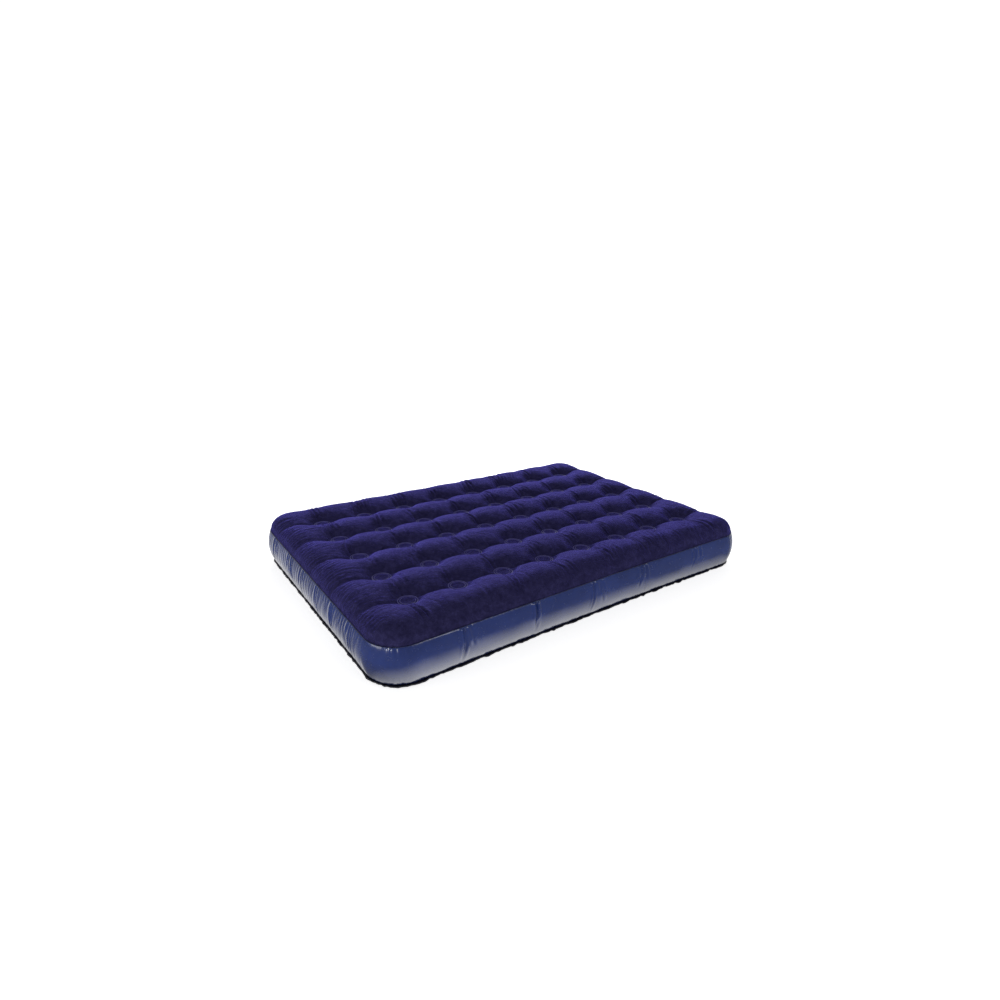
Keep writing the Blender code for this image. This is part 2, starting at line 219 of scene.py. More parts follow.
def joined(name, loops):
    """One mesh of several closed tubes; each is (rings, sides, 3) and both ways closed."""
    verts, faces = [], []
    for points in loops:
        rings, sides = points.shape[:2]
        index = np.arange(rings * sides).reshape(rings, sides) + len(verts)
        ahead = np.roll(index, -1, 0)
        quads = np.stack([index, ahead, np.roll(ahead, -1, 1), np.roll(index, -1, 1)], -1)
        verts.extend(points.reshape(-1, 3).tolist())
        faces.extend(quads.reshape(-1, 4).tolist())
    return mesh_object(name, verts, faces)


def swept_round_outline(name, section, points, outward, wave_out, wave_up):
    """A closed band round the bed; section holds (outset, height) pairs, and the
    waves move its free edge out and up at each point of the outline."""
    free = section[None, :, 0] > 0
    outset = section[None, :, 0] + wave_out[:, None] * free
    height = section[None, :, 1] + wave_up[:, None] * free
    flat = points[:, None, :] + outward[:, None, :] * outset[..., None]
    return joined(name, [np.concatenate([flat, height[..., None]], -1)])


def grid_normals(points):
    """Unit normals of a height-field grid, pointing up."""
    down = np.gradient(points, axis=0)
    across = np.gradient(points, axis=1)
    normal = np.cross(down, across)
    return normal / np.linalg.norm(normal, axis=-1, keepdims=True)


# ---------------------------------------------------------------- materials
class Surface:
    """A Principled material and helpers for the nodes that feed it."""

    def __init__(self, name, **settings):
        self.material = bpy.data.materials.new(name)
        self.material.use_nodes = True
        self.tree = self.material.node_tree
        self.shader = self.tree.nodes["Principled BSDF"]
        for key, value in settings.items():
            self.shader.inputs[key.replace("_", " ")].default_value = value
        self.place = self.node("ShaderNodeTexCoord").outputs["Object"]

    def node(self, kind):
        return self.tree.nodes.new(kind)

    def link(self, source, target):
        self.tree.links.new(source, target)

    def noise(self, scale, detail=3.0, roughness=0.55, stretch=None, distortion=0.0):
        node = self.node("ShaderNodeTexNoise")
        node.inputs["Scale"].default_value = scale
        node.inputs["Detail"].default_value = detail
        node.inputs["Roughness"].default_value = roughness
        node.inputs["Distortion"].default_value = distortion
        place = self.place
        if stretch:
            mapping = self.node("ShaderNodeMapping")
            mapping.inputs["Scale"].default_value = stretch
            self.link(self.place, mapping.inputs["Vector"])
            place = mapping.outputs["Vector"]
        self.link(place, node.inputs["Vector"])
        return node.outputs["Fac"]

    def ramp(self, source, stops):
        node = self.node("ShaderNodeValToRGB")
        elements = node.color_ramp.elements
        while len(elements) < len(stops):
            elements.new(0.5)
        for element, (position, value) in zip(elements, stops):
            element.position = position
            colour = value if hasattr(value, "__len__") else (value, value, value)
            element.color = (*colour, 1.0)
        self.link(source, node.inputs["Fac"])
        return node.outputs["Color"]

    def colour(self, source):
        self.link(source, self.shader.inputs["Base Color"])

    def painted_reflection_foot(self, height):
        """Painted reflection: multiplies the base colour down towards a dull grey below the given
        height, in place of the pale floor's reflection on the lower wall.
        """
        split = self.node("ShaderNodeSeparateXYZ")
        self.link(self.place, split.inputs["Vector"])
        share = self.node("ShaderNodeMath")
        share.operation = "DIVIDE"
        share.inputs[1].default_value = height
        self.link(split.outputs["Z"], share.inputs[0])
        # the tone the foot is multiplied towards: a painted floor reflection, not the film's own colour
        painted_reflection_grey = (0.9, 0.45, 0.30)
        painted_reflection_ramp = self.ramp(share.outputs["Value"], ((0.15, painted_reflection_grey), (0.85, (1.0, 1.0, 1.0))))
        mix = self.node("ShaderNodeMix")
        mix.data_type = "RGBA"
        mix.blend_type = "MULTIPLY"
        mix.inputs["Factor"].default_value = 1.0
        socket = self.shader.inputs["Base Color"]
        self.link(socket.links[0].from_socket, mix.inputs[6])
        self.link(painted_reflection_ramp, mix.inputs[7])
        self.link(mix.outputs[2], socket)

    def roughness(self, source):
        self.link(source, self.shader.inputs["Roughness"])

    def bump(self, *layers):
        """Each layer is (source, height in metres)."""
        normal = None
        for source, depth in layers:
            node = self.node("ShaderNodeBump")
            node.inputs["Strength"].default_value = 1.0
            node.inputs["Distance"].default_value = depth
            self.link(source, node.inputs["Height"])
            if normal:
                self.link(normal, node.inputs["Normal"])
            normal = node.outputs["Normal"]
        self.link(normal, self.shader.inputs["Normal"])


def flock_material():
    """Short dense pile: dark when seen along the light, brighter at a slant."""
    cloth = Surface(
        "flock_pile",
        Roughness=0.95,
        Specular_IOR_Level=0.0,
        Sheen_Weight=1.0,
        Sheen_Roughness=0.30,
        Sheen_Tint=(0.15, 0.13, 0.72, 1.0),
    )
    blotches = cloth.noise(38.0, detail=6.0, roughness=0.75, distortion=0.4)
    dark, middle, bright = (0.021, 0.019, 0.064), (0.032, 0.029, 0.094), (0.048, 0.044, 0.138)
    cloth.colour(cloth.ramp(blotches, ((0.34, dark), (0.50, middle), (0.66, bright))))
    pile = cloth.noise(900.0, detail=2.0)
    tufts = cloth.noise(110.0, detail=4.0, roughness=0.65)
    clumps = cloth.noise(48.0, detail=3.0, roughness=0.6)
    cloth.bump((clumps, 0.0030), (tufts, 0.0044), (pile, 0.0006))
    return cloth.material


def vinyl_material(name, colours, roughness, coat=0.6, painted_reflection_height=None):
    """Calendered film: glossy, a little uneven, with a fine crinkle.  It has three
    colours, a least and a greatest roughness, and may be painted duller and greyer below a height, a
    painted reflection of the floor."""
    film = Surface(name, Coat_Weight=coat, Coat_Roughness=0.10, Specular_IOR_Level=0.80)
    clouds = film.noise(7.0, detail=4.0, roughness=0.6)
    film.colour(film.ramp(clouds, tuple(zip((0.3, 0.5, 0.72), colours))))
    # painted reflection: a darker, greyer base colour at the foot of the film
    if painted_reflection_height:
        film.painted_reflection_foot(painted_reflection_height)
    scuffs = film.noise(45.0, detail=4.0, roughness=0.7)
    film.roughness(film.ramp(scuffs, tuple(zip((0.35, 0.7), roughness))))
    crinkle = film.noise(14.0, detail=0.0, stretch=(1.0, 1.0, 0.5))
    grain = film.noise(1400.0, detail=1.0)
    film.bump((crinkle, 0.0004), (grain, 0.00001))
    return film.material


def moulded_material(name, colour, bright, roughness):
    """Moulded plastic or rubber with a fine spark-eroded grain."""
    plastic = Surface(name, Specular_IOR_Level=0.5)
    clouds = plastic.noise(90.0, detail=3.0)
    plastic.colour(plastic.ramp(clouds, ((0.3, colour), (0.7, bright))))
    wear = plastic.noise(260.0, detail=3.0)
    plastic.roughness(plastic.ramp(wear, ((0.3, roughness - 0.08), (0.7, roughness + 0.10))))
    grain = plastic.noise(2600.0, detail=2.0)
    plastic.bump((grain, 0.00006))
    return plastic.material


def floor_material():
    """Matt white paper that glows a little, so that it stays white."""
    white = (1, 1, 1, 1)
    paper = Surface("studio_floor", Roughness=0.85, Emission_Color=white, Emission_Strength=0.75)
    tone = paper.noise(1.2, detail=2.0)
    paper.colour(paper.ramp(tone, ((0.3, 0.86), (0.7, 0.88))))
    return paper.material


# ------------------------------------------------------------- flocked top
COARSE_X = 20            # simulated cells in one pitch along the bed
COARSE_Y = 22            # simulated cells in one pitch across the bed
CROWDING_X = 0.22        # how much closer the grid lines stand at the rings
CROWDING_Y = 0.08
CELL = 0.0085            # width of a simulated cell at a ring
RING_INNER = 0.012       # how far inside a ring the film starts to rise
RIDGE_POWER = 0.62       # below 1, ridges are broad and valleys narrow
WIDTH_SLACK = 1.06       # the sheet is cut this much wider than the bed
BLOW_FRAMES = 22


def grid_lines(pitch, pitches, cells, ring_at, crowding):
    """Grid lines over the whole width, closer together at the rings."""
    even = np.linspace(-pitches / 2, pitches / 2, pitches * cells + 1)
    drawn = np.sin(2 * math.pi * (even - ring_at)) / (2 * math.pi)
    return pitch * (even - crowding * drawn)


def start_height(x, y):
    """Height of the ridged form before it is blown up."""
    u = x / PITCH_X
    v = y / PITCH_Y
    dimple = np.where(np.abs(u) < COLUMNS / 2, np.sin(math.pi * u) ** 2, 0.0)
    ridge = np.where(np.abs(v) < ROWS / 2, np.abs(np.sin(math.pi * v)) ** RIDGE_POWER, 1.0)
    past_ring = np.abs(u) - (COLUMNS - 1) / 2
    open_valley = Z_VALLEY + (Z_END_VALLEY - Z_VALLEY) * smooth(0.1, 0.7, past_ring)
    valley = open_valley - (open_valley - Z_RING) * dimple
    crest = Z_CREST - CREST_DIP * dimple

    def rise(inset):
        share = np.clip(inset / EDGE_ROLL, 0.0, 1.0)
        return np.sqrt(1.0 - (1.0 - share) ** 2)

    fall = rise(HALF_X - np.abs(x)) * rise(HALF_Y - np.abs(y))
    return Z_TOP_SEAM + (valley + (crest - valley) * ridge - Z_TOP_SEAM) * fall


def drawn_to_rings(points):
    """Eases the start form down to the level of each ring, over a rise round it."""
    ease = np.ones(points.shape[:2])
    for _, _, centre_x, centre_y in ring_centres():
        radius = np.hypot(points[..., 0] - centre_x, points[..., 1] - centre_y)
        ease = ease * smooth(RING_R - RING_INNER, RING_R + RING_RISE, radius)
    above = points[..., 2] - Z_RING
    points[..., 2] = Z_RING + above * np.where(above > 0, ease, 1.0)


def set_in_rings(points, spacing):
    """Moves the nearest points onto each ring, lays the film flat inside it, and
    tells which points are held by a ring."""
    held = np.zeros(points.shape[:2], bool)
    for _, _, centre_x, centre_y in ring_centres():
        off_x = points[..., 0] - centre_x
        off_y = points[..., 1] - centre_y
        radius = np.hypot(off_x, off_y)
        near = np.abs(radius - RING_R) < 0.5 * spacing
        pull = np.where(near, RING_R / np.maximum(radius, 1e-6), 1.0)
        points[..., 0] = np.where(near, centre_x + off_x * pull, points[..., 0])
        points[..., 1] = np.where(near, centre_y + off_y * pull, points[..., 1])
        inside = radius < RING_R + 0.5 * spacing
        dome = Z_RING + RING_DOME * np.clip(1 - (radius / RING_R) ** 2, 0.0, 1.0)
        points[..., 2] = np.where(inside, dome, points[..., 2])
        held |= inside
    return held


def blow_up(points, held):
    """Cloth simulation: the sheet, held at its seam and rings, under air pressure."""
    cloth = grid_object("blown_sheet", points)
    group = cloth.vertex_groups.new(name="held")
    group.add([int(k) for k in np.flatnonzero(held.reshape(-1))], 1.0, "REPLACE")
    cloth.shape_key_add(name="Basis")
    cut = cloth.shape_key_add(name="cut")
    slack = points.reshape(-1, 3) * (1.0, WIDTH_SLACK, 1.0)
    cut.data.foreach_set("co", slack.reshape(-1))
    modifier = cloth.modifiers.new("blown", "CLOTH")
    settings = modifier.settings
    settings.quality = 6
    settings.mass = 0.25
    settings.tension_stiffness = 25
    settings.compression_stiffness = 25
    settings.shear_stiffness = 8
    settings.bending_stiffness = 0.05
    settings.tension_damping = 8
    settings.compression_damping = 8
    settings.shear_damping = 8
    settings.bending_damping = 0.5
    settings.air_damping = 4
    settings.vertex_group_mass = "held"
    settings.pin_stiffness = 1
    settings.use_pressure = True
    settings.uniform_pressure_force = 4
    settings.rest_shape_key = cut
    settings.effector_weights.gravity = 0
    modifier.collision_settings.use_collision = False
    modifier.collision_settings.use_self_collision = False
    modifier.point_cache.frame_start = 1
    modifier.point_cache.frame_end = BLOW_FRAMES
    for step in range(1, BLOW_FRAMES + 1):
        bpy.context.scene.frame_set(step)
    shown = cloth.evaluated_get(bpy.context.evaluated_depsgraph_get())
    blown = np.empty(points.size)
    shown.data.vertices.foreach_get("co", blown)
    bpy.data.objects.remove(cloth, do_unlink=True)
    bpy.context.scene.frame_set(1)
    return blown.reshape(points.shape)


def halved(grid):
    """Doubles a grid's lines along its first axis, on a smooth curve through the old."""
    before = 2 * grid[:1] - grid[1:2]
    after = 2 * grid[-1:] - grid[-2:-1]
    wide = np.concatenate([before, grid, after])
    between = (9 * (wide[1:-2] + wide[2:-1]) - wide[:-3] - wide[3:]) / 16
    fine = np.empty((2 * len(grid) - 1,) + grid.shape[1:])
    fine[0::2] = grid
    fine[1::2] = between
    return fine


def refined(grid):
    """Doubles a grid's lines both ways."""
    return np.swapaxes(halved(np.swapaxes(halved(grid), 0, 1)), 0, 1)


def end_pleats(x, y):
    """Gathers that run in from the seam at both ends and round the corners."""
    pitch, depth = 0.0215, 0.0046
    over_x = (np.abs(x) - (HALF_X - CORNER_R)) / CORNER_R
    over_y = (np.abs(y) - (HALF_Y - CORNER_R)) / CORNER_R
    in_corner = (over_x > 0) & (over_y > 0)
    radius = np.sqrt(np.clip(over_x**2 + over_y**2 - (over_x * over_y) ** 2, 0.0, None))
    angle = np.arctan2(np.maximum(over_y, 0.0), np.maximum(over_x, 1e-6))
    inset = np.where(in_corner, CORNER_R * (1 - radius), HALF_X - np.abs(x))
    v = y / PITCH_Y
    bunch = 0.45 * np.sin(2 * math.pi * v) / (2 * math.pi) * smooth(0.0, 0.20, inset) * PITCH_Y
    along = np.where(in_corner, HALF_Y - CORNER_R + CORNER_R * angle, np.abs(y + bunch))
    side = np.sign(x) * 3.0 + np.sign(y)
    drift = lattice_noise(along / 0.045 + 9 * side, inset / 0.07, 11)
    phase = along / pitch + 0.55 * drift
    reach = 0.175 + 0.085 * lattice_noise(along / 0.018 + 5 * side, inset / 0.5, 12)
    fade = smooth(0.0, 0.022, inset) * (1 - smooth(0.35 * reach, reach, inset))
    strength = 0.65 + 0.5 * lattice_noise(along / 0.03 + 7 * side, inset / 0.06, 13)
    gap = np.hypot(over_x, over_y)
    corner_fade = np.where(
        in_corner,
        smooth(0.10, 0.45, radius) * (1 - smooth(1.05, 1.50, angle)),
        smooth(0.10, 0.45, gap) * (1 - smooth(0.0, 0.2, over_y)),
    )
    return depth * puffs(phase) * fade * strength * corner_fade


def side_pleats(x, y):
    """Small gathers at the long seams."""
    pitch, depth = 0.017, 0.0009
    inset = HALF_Y - np.abs(y)
    gate = smooth(0.1, 0.7, lattice_noise(x / 0.09, np.sign(y) * 4.0, 21))
    phase = x / pitch + 0.5 * lattice_noise(x / 0.04, inset / 0.03, 22)
    fade = smooth(0.0, 0.008, inset) * (1 - smooth(0.015, 0.060, inset))
    inner = 1 - smooth(HALF_X - CORNER_R - 0.05, HALF_X - CORNER_R, np.abs(x))
    return depth * puffs(phase) * fade * gate * inner


def crease(offset, width):
    """A narrow valley with a lip on each side, one unit deep."""
    lip_height, lip_place = 0.80, 2.1
    across = offset / width
    valley = np.exp(-(across**2))
    lips = np.exp(-((across - lip_place) ** 2)) + np.exp(-((across + lip_place) ** 2))
    return lip_height * lips - valley


def cross_creases(x, y):
    """Creases over the ridges, from each ring to the next one across the bed."""
    random = np.random.RandomState(31)
    v = y / PITCH_Y
    total = np.zeros_like(x)
    first, last = -(ROWS + 1) // 2, (ROWS + 1) // 2 - 1
    for column in range(COLUMNS):
        centre = (column - (COLUMNS - 1) / 2) * PITCH_X
        for cell in range(first, last + 1):
            share = np.clip(v - cell, 0.0, 1.0)
            begin = 0.30 if cell == first else 0.20      # later beside a seam than a ring
            end = 0.70 if cell == last else 0.80
            fade = smooth(0.10, begin, v - cell) * (1 - smooth(end, 0.90, v - cell))
            for _ in range(random.randint(1, 5)):
                offset = random.uniform(-0.030, 0.040)
                spread = random.uniform(-0.1, 0.5)
                bend = random.uniform(-0.012, 0.012)
                depth = random.uniform(0.0014, 0.0040)
                width = random.uniform(0.0042, 0.0058)
                middle = random.uniform(0.15, 0.85)
                hump = np.sin(math.pi * share)
                path = centre + offset * (1 + spread * hump) + bend * np.sin(2 * math.pi * share)
                local = 0.45 + 0.55 * np.exp(-(((share - middle) / 0.28) ** 2))
                total += depth * crease(x - path, width) * fade * local
    return total


def ring_puckers(plan_x, plan_y):
    """Short creases that run out from each ring."""
    depth = 0.0013
    random = np.random.RandomState(41)
    total = np.zeros_like(plan_x)
    for _, _, centre_x, centre_y in ring_centres():
        folds = random.randint(9, 14)
        start = random.uniform(0, 1)
        off_x = plan_x - centre_x
        off_y = plan_y - centre_y
        radius = np.hypot(off_x, off_y)
        turn = np.arctan2(off_y, off_x) / (2 * math.pi)
        lean = turn + 0.5 * lattice_noise(turn * 5 + start * 30, radius / 0.03, 42) / folds
        reach = RING_R + 0.024 + 0.014 * np.sin(2 * math.pi * (turn * 3 + start))
        fade = smooth(RING_R, RING_R + 0.006, radius) * (1 - smooth(RING_R + 0.008, reach, radius))
        total += depth * puffs(folds * lean + start) * fade
    return total


SLANT = 0.30              # how far the slanting creases lean, along per across
SLANT_PITCH = 0.0205
SLANT_DEPTH = 0.0068
SLANTS_NEAR = ((-0.38, 0.05), (0.12, 0.07), (0.36, 0.15), (0.62, 0.05))   # (x, half length)
SLANTS_FAR = ((-0.45, 0.08), (-0.05, 0.06), (0.40, 0.13))


def slant_creases(x, y):
    """Patches of fine slanting creases on the two outer ridges."""
    past_ring = np.abs(y) / PITCH_Y - (ROWS - 1) / 2
    band = smooth(0.10, 0.30, past_ring) * (1 - smooth(0.74, 0.95, past_ring))
    slope = (x - SLANT * y) / SLANT_PITCH
    phase = slope + 0.6 * lattice_noise(x / 0.05, y / 0.05, 51)
    uneven = 0.75 + 0.5 * lattice_noise(x / 0.03, y / 0.06, 52)
    total = np.zeros_like(x)
    for side, patches in ((-1, SLANTS_NEAR), (1, SLANTS_FAR)):
        for centre, half_length in patches:
            off = np.abs(x - SLANT * (y - side * HALF_Y) - centre)
            gate = (1 - smooth(0.45 * half_length, half_length, off)) * (np.sign(y) == side)
            total = total + SLANT_DEPTH * puffs(phase) * band * gate * uneven
    return total


def make_top():
    """The flocked sheet: start form, simulation, finer grid, then the creases."""
    lines_x = grid_lines(PITCH_X, COLUMNS + 1, COARSE_X, 0.5, CROWDING_X)
    lines_y = grid_lines(PITCH_Y, ROWS + 1, COARSE_Y, 0.0, CROWDING_Y)
    x, y = np.meshgrid(lines_x, lines_y, indexing="ij")
    plan_x, plan_y = to_plan(x, y)
    points = np.stack([plan_x, plan_y, start_height(x, y)], -1)
    drawn_to_rings(points)
    held = set_in_rings(points, CELL)
    held[[0, -1], :] = True
    held[:, [0, -1]] = True
    points = blow_up(points, held)
    points = refined(points)
    layout = refined(np.stack([x, y], -1))
    x, y = layout[..., 0], layout[..., 1]
    swell = 0.0007 * lattice_noise(x / 0.035, y / 0.035, 61)
    swell = swell + end_pleats(x, y) + side_pleats(x, y) + cross_creases(x, y)
    swell = swell + ring_puckers(points[..., 0], points[..., 1]) + slant_creases(x, y)
    inset = np.minimum(HALF_X - np.abs(x), HALF_Y - np.abs(y))
    swell = swell * smooth(0.0, 0.006, inset)
    points = points + grid_normals(points) * swell[..., None]
    set_in_rings(points, 0.5 * CELL)
    return grid_object("flocked_top", points)


def bead(centre_x, centre_y, height, radius, half_width, half_height, steps=56, sides=8):
    """A flattened ring of round section, lying level."""
    turn = np.linspace(0, 2 * math.pi, steps, endpoint=False)[:, None]
    round_section = np.linspace(0, 2 * math.pi, sides, endpoint=False)[None, :]
    reach = radius + half_width * np.cos(round_section)
    x = centre_x + reach * np.cos(turn)
    y = centre_y + reach * np.sin(turn)
    z = height + half_height * np.sin(round_section) + 0 * turn
    return np.stack([x, y, z], -1)


OUTER_BEAD = (RING_R, 0.0011, 0.0010)               # radius, half width, half height
INNER_BEAD = (RING_R - 0.008, 0.0008, 0.0009)
INNER_BEAD_LIFT = 0.0006                            # the film domes up inside the ring


def make_ring_welds(name, height):
    """Each ring is welded along two lines, one just inside the other."""
    beads = []
    for _, _, x, y in ring_centres():
        beads.append(bead(x, y, height, *OUTER_BEAD))
        beads.append(bead(x, y, height + INNER_BEAD_LIFT, *INNER_BEAD))
    return joined(name, beads)


# -------------------------------------------------------- wall and underside
OUTLINE_COUNT = 1860     # points round the bed
WALL_ROWS = 30           # faces up the wall
FANS_NEAR = (-0.63, -0.30, -0.01, 0.25, 0.60)     # x of the crease fans, -Y wall
FANS_FAR = (-0.55, -0.22, 0.10, 0.38, 0.66)       # x of the crease fans, +Y wall
FANS_END = (-0.44, -0.27, -0.10, 0.08, 0.24, 0.45)  # y of the crease fans, end walls

VALVE = Vector((WALL_HIGH[0], 0.400, 0.076))      # on the valve's axis, at the wall
VALVE_HOLE_R = 0.024                              # under the flange, clear of the neck
VALVE_FLAT_R = 0.040                              # the film is level inside this radius
VALVE_FLAT_EASE = 0.025


def fan(place, drop, random):
    """Creases that leave the top seam near place 0 and spread as they run down."""
    total = np.zeros(np.broadcast(place, drop).shape)
    for _ in range(random.randint(3, 6)):
        start = random.uniform(-0.022, 0.022)
        spread = start * random.uniform(0.2, 1.6) + random.uniform(-0.006, 0.006)
        length = random.uniform(0.35, 1.0)
        width = random.uniform(0.0036, 0.0060)
        depth = random.uniform(0.0012, 0.0030)
        fade = smooth(-0.02, 0.05, drop) * (1 - smooth(0.6 * length, length, drop))
        total += depth * crease(place - start - spread * drop, width) * fade
    return total


def wall_creases(points, outward, along, drop):
    """Swell of the wall over its plain profile; drop runs from 0 at the top seam to 1."""
    gather_pitch, gather_depth = 0.0200, 0.0027
    tall_pitch, tall_depth = 0.034, 0.0009
    side_fan, end_fan = 1.35, 0.5
    random = np.random.RandomState(71)
    x = points[:, :1]
    y = points[:, 1:]
    on_end = smooth(0.5, 0.95, np.abs(outward[:, :1]))
    place = along[:, None]
    total = 0.0008 * lattice_noise(place / 0.06, drop * 3.0, 72)
    for fans, sign in ((FANS_NEAR, -1), (FANS_FAR, 1)):
        there = (np.sign(y) == sign) * (1 - on_end)
        for centre in fans:
            total = total + side_fan * fan(x - centre, drop, random) * there
    for sign in (-1, 1):
        there = (np.sign(x) == sign) * on_end
        for centre in FANS_END:
            total = total + end_fan * fan(y - centre, drop, random) * there
    phase = place / gather_pitch + 0.6 * lattice_noise(place / 0.05, drop * 2.5, 73)
    gate = smooth(-0.25, 0.6, lattice_noise(place / 0.075, 0.0 * drop, 74))
    corner = smooth(0.02, 0.35, np.abs(outward[:, :1] * outward[:, 1:]))
    gather = np.maximum(np.maximum(0.6 * on_end, 0.9 * corner), 0.25)
    gather = gather * (0.35 + 0.65 * gate)
    fade_high = smooth(0.0, 0.04, drop) * (1 - smooth(0.08, 0.45, drop))
    fade_low = smooth(0.0, 0.04, 1 - drop) * (1 - smooth(0.06, 0.30, 1 - drop))
    total = total + gather_depth * puffs(phase) * gather * (fade_high + 0.6 * fade_low)
    tall = place / tall_pitch + 0.8 * lattice_noise(place / 0.08, drop * 1.5, 75)
    middle = smooth(0.02, 0.2, drop) * (1 - smooth(0.8, 0.98, drop))
    return total + tall_depth * puffs(tall) * on_end * middle


def make_wall(points, outward, along):
    """The bulging side wall, from the lower seam to the top one."""
    share = np.linspace(0.0, 1.0, WALL_ROWS + 1)[None, :]
    share = share - 0.35 * np.sin(2 * math.pi * share) / (2 * math.pi)
    height = Z_LOW_SEAM + (Z_TOP_SEAM - Z_LOW_SEAM) * share
    outset = BULGE * np.sin(math.pi * share) ** 0.72
    drop = 1.0 - share
    swell = wall_creases(points, outward, along, drop)
    swell = swell * smooth(0.0, 0.02, share * drop)
    bulge = outset + swell
    flat = points[:, None, :] + outward[:, None, :] * bulge[..., None]
    grid = np.concatenate([flat, np.broadcast_to(height, bulge.shape)[..., None]], -1)
    # The film lies flat where the valve is welded on, and has a hole behind it.
    off_y = grid[..., 1] - VALVE.y
    off_z = grid[..., 2] - VALVE.z
    away = np.where(grid[..., 0] > 0, np.hypot(off_y, off_z), 1.0)
    level = 1 - smooth(VALVE_FLAT_R, VALVE_FLAT_R + VALVE_FLAT_EASE, away)
    grid[..., 0] = grid[..., 0] * (1 - level) + VALVE.x * level
    reach = 0.0030                                 # points this near the hole move onto it
    rim = np.abs(away - VALVE_HOLE_R) < reach
    pull = np.where(rim, VALVE_HOLE_R / np.maximum(away, 1e-6), 1.0)
    grid[..., 1] = np.where(rim, VALVE.y + off_y * pull, grid[..., 1])
    grid[..., 2] = np.where(rim, VALVE.z + off_z * pull, grid[..., 2])
    solid = (away > VALVE_HOLE_R - reach) | rim
    ahead = np.roll(solid, -1, 0)
    keep = solid[:, :-1] & ahead[:, :-1] & ahead[:, 1:] & solid[:, 1:]
    wall = grid_object("wall_skin", grid, closed=True, keep=keep)
    clean_loose(wall)
    return wall


UNDER_X = 16             # faces in one pitch along the bed
UNDER_Y = 18             # faces in one pitch across the bed
UNDER_CROWDING = 0.3
UNDER_ROLL = 0.050       # width over which the sheet curves up to its seam
UNDER_RISE = 0.0105
UNDER_DIMPLE = 0.0022    # how far the coil beams pull it up


def make_underside():
    """The black sheet: level on the floor, curved up to its seam, with faint dimples."""
    lines_x = grid_lines(PITCH_X, COLUMNS + 1, UNDER_X, 0.5, UNDER_CROWDING)
    lines_y = grid_lines(PITCH_Y, ROWS + 1, UNDER_Y, 0.0, UNDER_CROWDING)
    x, y = np.meshgrid(lines_x, lines_y, indexing="ij")
    plan_x, plan_y = to_plan(x, y)
    inset = np.minimum(HALF_X - np.abs(x), HALF_Y - np.abs(y))
    height = UNDER_RISE * (1 - smooth(0.0, UNDER_ROLL, inset)) ** 1.6 + 0.0002
    flat = 1 - smooth(0.0, 0.05, 0.09 - inset)
    for _, _, centre_x, centre_y in ring_centres():
        radius = np.hypot(plan_x - centre_x, plan_y - centre_y)
        height = height + UNDER_DIMPLE * (1 - smooth(RING_R - 0.004, RING_R + 0.020, radius))
    folds = lattice_noise(x / 0.05, y / 0.03, 81)
    height = height + 0.0009 * np.abs(folds) * flat
    return grid_object("underside_skin", np.stack([plan_x, plan_y, height], -1)[:, ::-1])


# Outset, thickness and height of each weld fin, and the waves of its free edge, out
# and up: (depth, waves in 50 mm, seed).
TOP_FIN = (0.0038, 0.0014, Z_TOP_SEAM)
TOP_WAVES_OUT = ((0.0008, 1.7, 92),)
TOP_WAVES_UP = ((0.0009, 1.0, 91),)
LOW_FIN = (0.0090, 0.0052, 0.0080)
LOW_WAVES_OUT = ((0.0022, 3.1, 94),)
LOW_WAVES_UP = ((0.0020, 1.9, 93), (0.0018, 4.6, 95))


def fin_section(outset, thickness, height):
    """Outline of a weld fin: rounded outer edge, its inner edge inside the seam."""
    half = 0.5 * thickness
    inner = -0.0008
    lower = [(reach, height - half) for reach in (inner, outset * 0.5, outset - half)]
    upper = [(reach, height + half) for reach in (outset - half, outset * 0.5, inner)]
    return np.array(lower + [(outset, height)] + upper)


def make_seam(name, fin, line, waves_out, waves_up):
    """A weld fin round the bed; line is what outline() gives."""
    points, outward, along = line
    place = along / 0.050

    def wave(parts):
        return sum(depth * lattice_noise(place * often, 0 * place, seed) for depth, often, seed in parts)

    section = fin_section(*fin)
    return swept_round_outline(name, section, points, outward, wave(waves_out), wave(waves_up))


# ------------------------------------------------------------------ inside
COIL_LOW = 0.0013
COIL_HIGH = Z_RING - 0.0006
COIL_TURNS = 1.10        # the strip goes round a little more than once
COIL_STEP = 0.0012       # how far it spirals in, and how far its middle is drawn in


def coil_grid():
    """One rolled strip: its ends lap, and both rims flare into their welds."""
    turn = np.linspace(0.0, 2 * math.pi * COIL_TURNS, 40)[:, None]
    share = np.linspace(0.0, 1.0, 9)[None, :]
    waist = COIL_STEP * np.sin(math.pi * share) ** 0.5
    radius = RING_R - COIL_STEP * turn / (2 * math.pi) - waist
    z = COIL_LOW + (COIL_HIGH - COIL_LOW) * share + 0 * turn
    return np.stack([radius * np.cos(turn), radius * np.sin(turn), z], -1)


def make_coils():
    """All forty strips, as one piece."""
    strip = coil_grid()
    steps, rows = strip.shape[:2]
    verts, faces = [], []
    quads = open_quads(np.arange(steps * rows).reshape(steps, rows)).reshape(-1, 4)
    for _, _, x, y in ring_centres():
        faces.extend((quads + len(verts)).tolist())
        verts.extend((strip.reshape(-1, 3) + (x, y, 0.0)).tolist())
    return mesh_object("coil_beams", verts, faces)


# ------------------------------------------------------------------- valve
# Radii, and heights out from the face of the wall.
AXIS_R = 0.0002          # a turned piece stops just short of its own axis
FLANGE_R = 0.0360
FLANGE_LOW = 0.0003      # clear of the film it is welded to
COLLAR_R = 0.0245
NECK_R = 0.0230
BORE_R = 0.0205
BASE_TOP = 0.0070
BASE_DEEP = -0.0120

